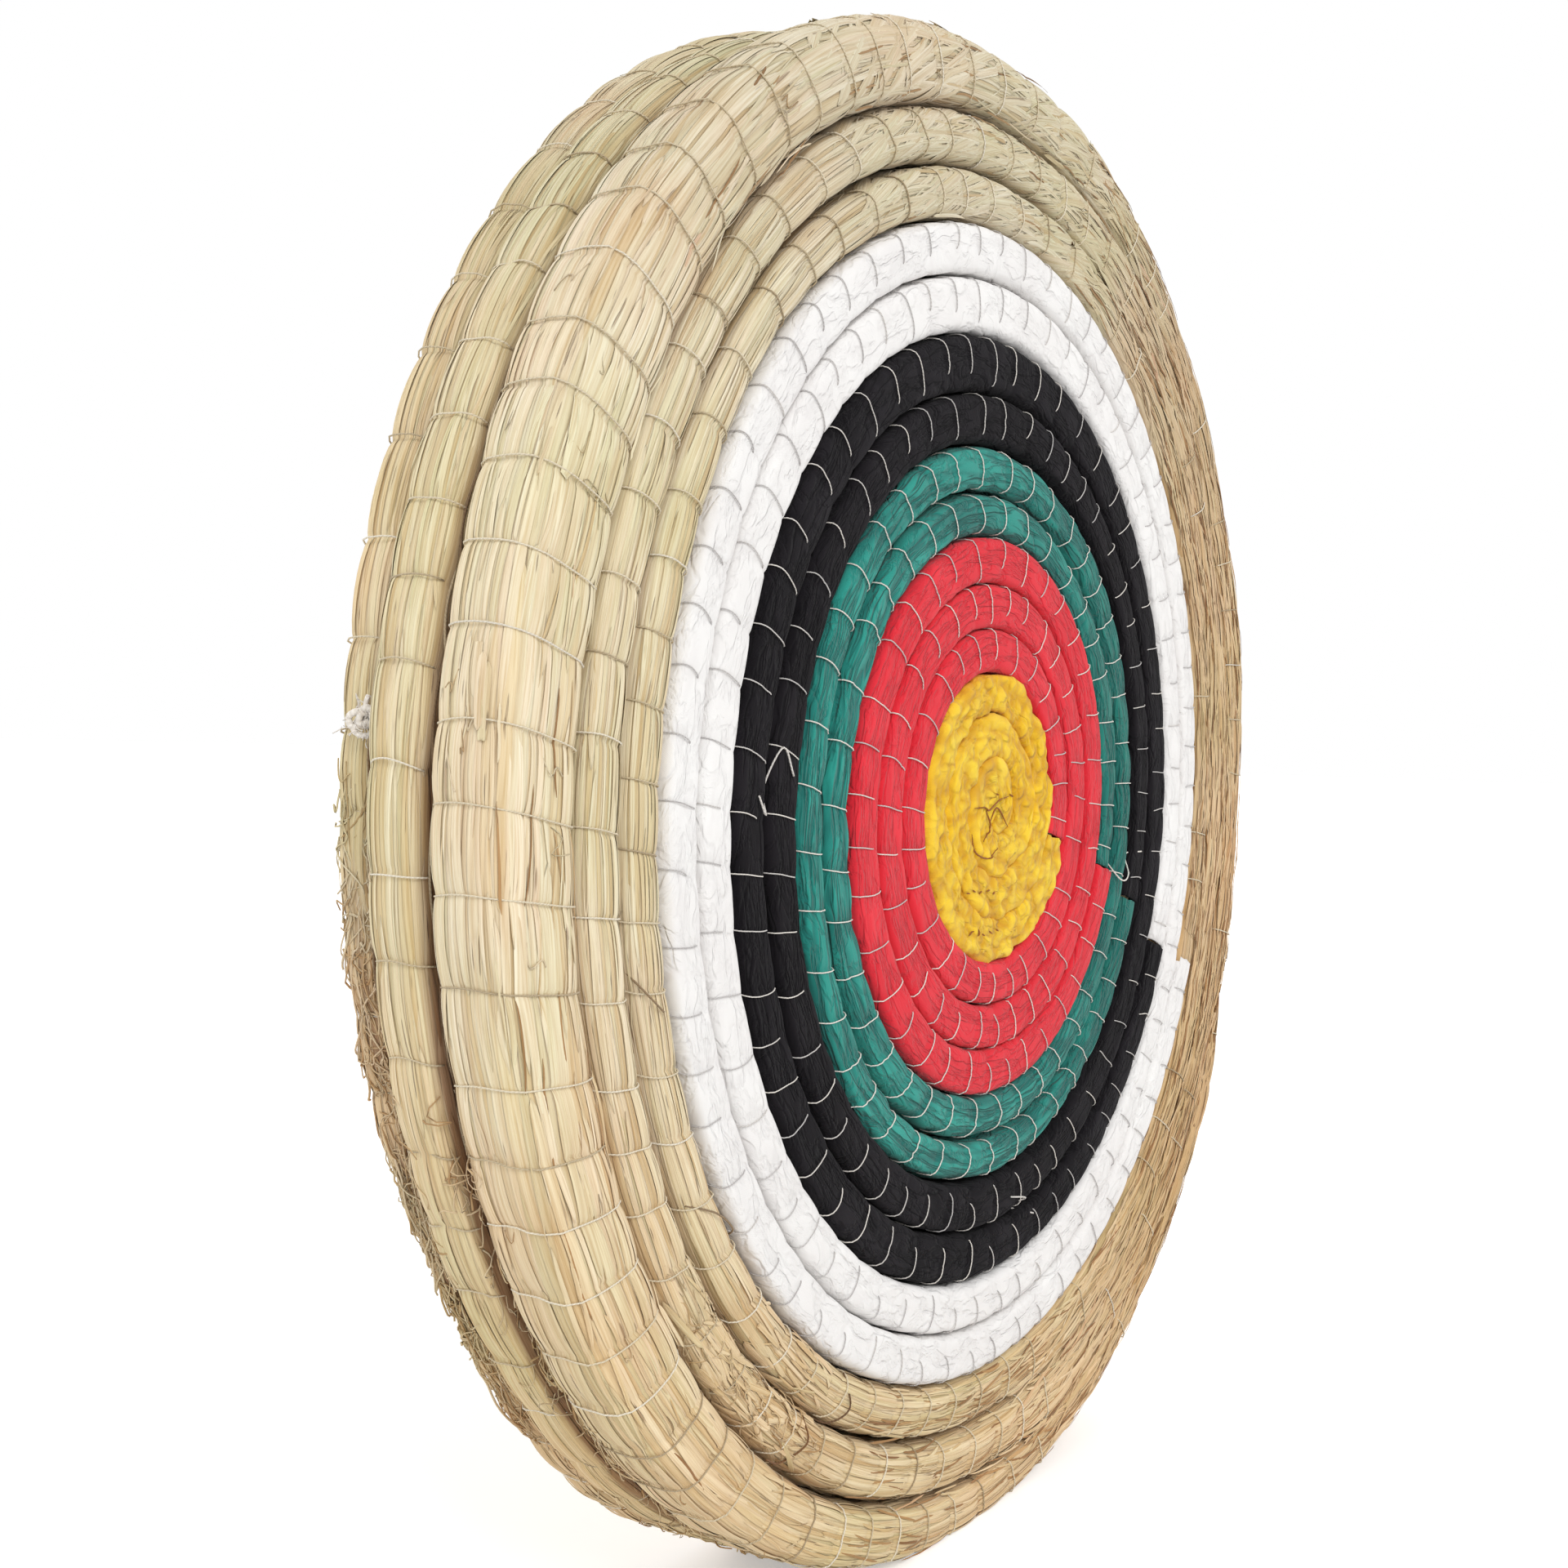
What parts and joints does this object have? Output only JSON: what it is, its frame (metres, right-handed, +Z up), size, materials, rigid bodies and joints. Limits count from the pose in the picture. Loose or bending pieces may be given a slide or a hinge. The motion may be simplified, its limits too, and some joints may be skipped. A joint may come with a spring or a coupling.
{
  "type": "archery target boss",
  "caption": "Round straw-rope target boss: three flat spiral coils laced at the rim, with cloth-wrapped scoring rings on the face.",
  "frame": {"origin": "on the floor under the middle of the boss's box, where it stands on its rim", "axes": "+Z up, -Y out of the scoring face, +Y out of the back, +X to the right seen from the front"},
  "size_m": [0.4932, 0.0666, 0.4976],
  "materials": {
    "straw": "dry straw bundles, matt, with long fibres",
    "gold_cloth": "crumpled cotton cloth, matt",
    "red_cloth": "cotton cloth, matt, fine folds",
    "green_cloth": "cotton cloth, matt, long folds",
    "black_cloth": "cotton cloth, matt",
    "white_cloth": "cotton cloth, matt, soft folds",
    "thread": "twisted cotton thread"
  },
  "bodies": {
    "root": {"front_rope": "straw", "middle_rope": "straw", "back_rope": "straw", "middle_inner_turns": "straw", "gold_wrap": "gold_cloth", "red_wrap": "red_cloth", "green_wrap": "green_cloth", "black_wrap": "black_cloth", "white_wrap": "white_cloth", "front_stitching": "thread", "back_stitching": "thread", "front_lacing": "thread", "back_lacing": "thread", "rim_knot": "thread"}
  },
  "joints": []
}
